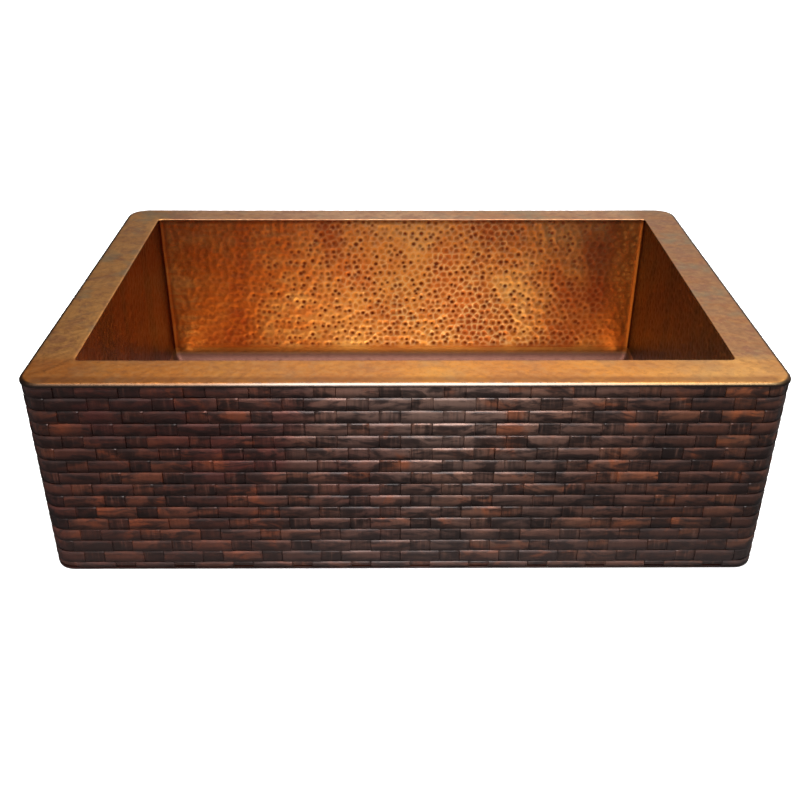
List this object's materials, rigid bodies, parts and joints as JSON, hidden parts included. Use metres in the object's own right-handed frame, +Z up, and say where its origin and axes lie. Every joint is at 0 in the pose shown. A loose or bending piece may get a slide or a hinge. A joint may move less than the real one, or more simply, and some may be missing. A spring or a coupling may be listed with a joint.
{
  "type": "apron front sink",
  "caption": "Rectangular single-bowl apron front sink in hammered copper with a woven front, a flat rim, and a lift-out basket strainer in its drain.",
  "frame": {"origin": "centre of the rim's outline, at the level of the rim's flat top face", "axes": "+X to the right seen from the front, +Y from the apron to the back, +Z up"},
  "size_m": [0.8382, 0.5588, 0.3243],
  "materials": {
    "rim_copper": "hammered copper, warm tan patina, satin",
    "bowl_copper": "hammered copper, mottled orange patina, satin",
    "weld_copper": "plain copper sheet and weld, dull",
    "apron_copper": "woven copper strap, near-black brown patina",
    "drain_bronze": "antique bronze, satin",
    "nut_brass": "plain turned brass",
    "rubber": "black rubber",
    "putty": "grey plumber's putty",
    "friction_card": "pressed card"
  },
  "bodies": {
    "sink": {"rim_front": "rim_copper", "rim_back": "rim_copper", "rim_left": "rim_copper", "rim_right": "rim_copper", "bowl_wall_front": "bowl_copper", "bowl_wall_back": "bowl_copper", "bowl_wall_left": "bowl_copper", "bowl_wall_right": "bowl_copper", "bowl_floor_pan": "bowl_copper", "collar_weld": "weld_copper", "pan_weld": "weld_copper", "corner_welds": "weld_copper", "apron_backing": "weld_copper", "apron_corner_left": "weld_copper", "apron_corner_right": "weld_copper", "apron_return_left": "weld_copper", "apron_return_right": "weld_copper", "apron_stakes": "apron_copper", "apron_weavers_odd": "apron_copper", "apron_weavers_even": "apron_copper", "apron_hem": "apron_copper", "apron_end_left": "apron_copper", "apron_end_right": "apron_copper", "strainer_flange": "drain_bronze", "strainer_body": "drain_bronze", "strainer_outlet": "drain_bronze", "putty_ring": "putty", "rubber_gasket": "rubber", "friction_ring": "friction_card", "lock_nut": "nut_brass"},
    "basket": {"basket_cup": "drain_bronze", "basket_floor": "drain_bronze"},
    "stopper_post": {"post": "drain_bronze", "post_knob": "drain_bronze", "stopper": "rubber", "stem_nut": "nut_brass", "retaining_clip": "nut_brass"}
  },
  "joints": [
    {"name": "basket_lift", "type": "slide", "parent": "sink", "child": "basket", "axis": [0, 0, 1], "range_m": [0, 0.33]},
    {"name": "stopper_lift", "type": "slide", "parent": "basket", "child": "stopper_post", "axis": [0, 0, 1], "range_m": [0, 0.01]}
  ]
}
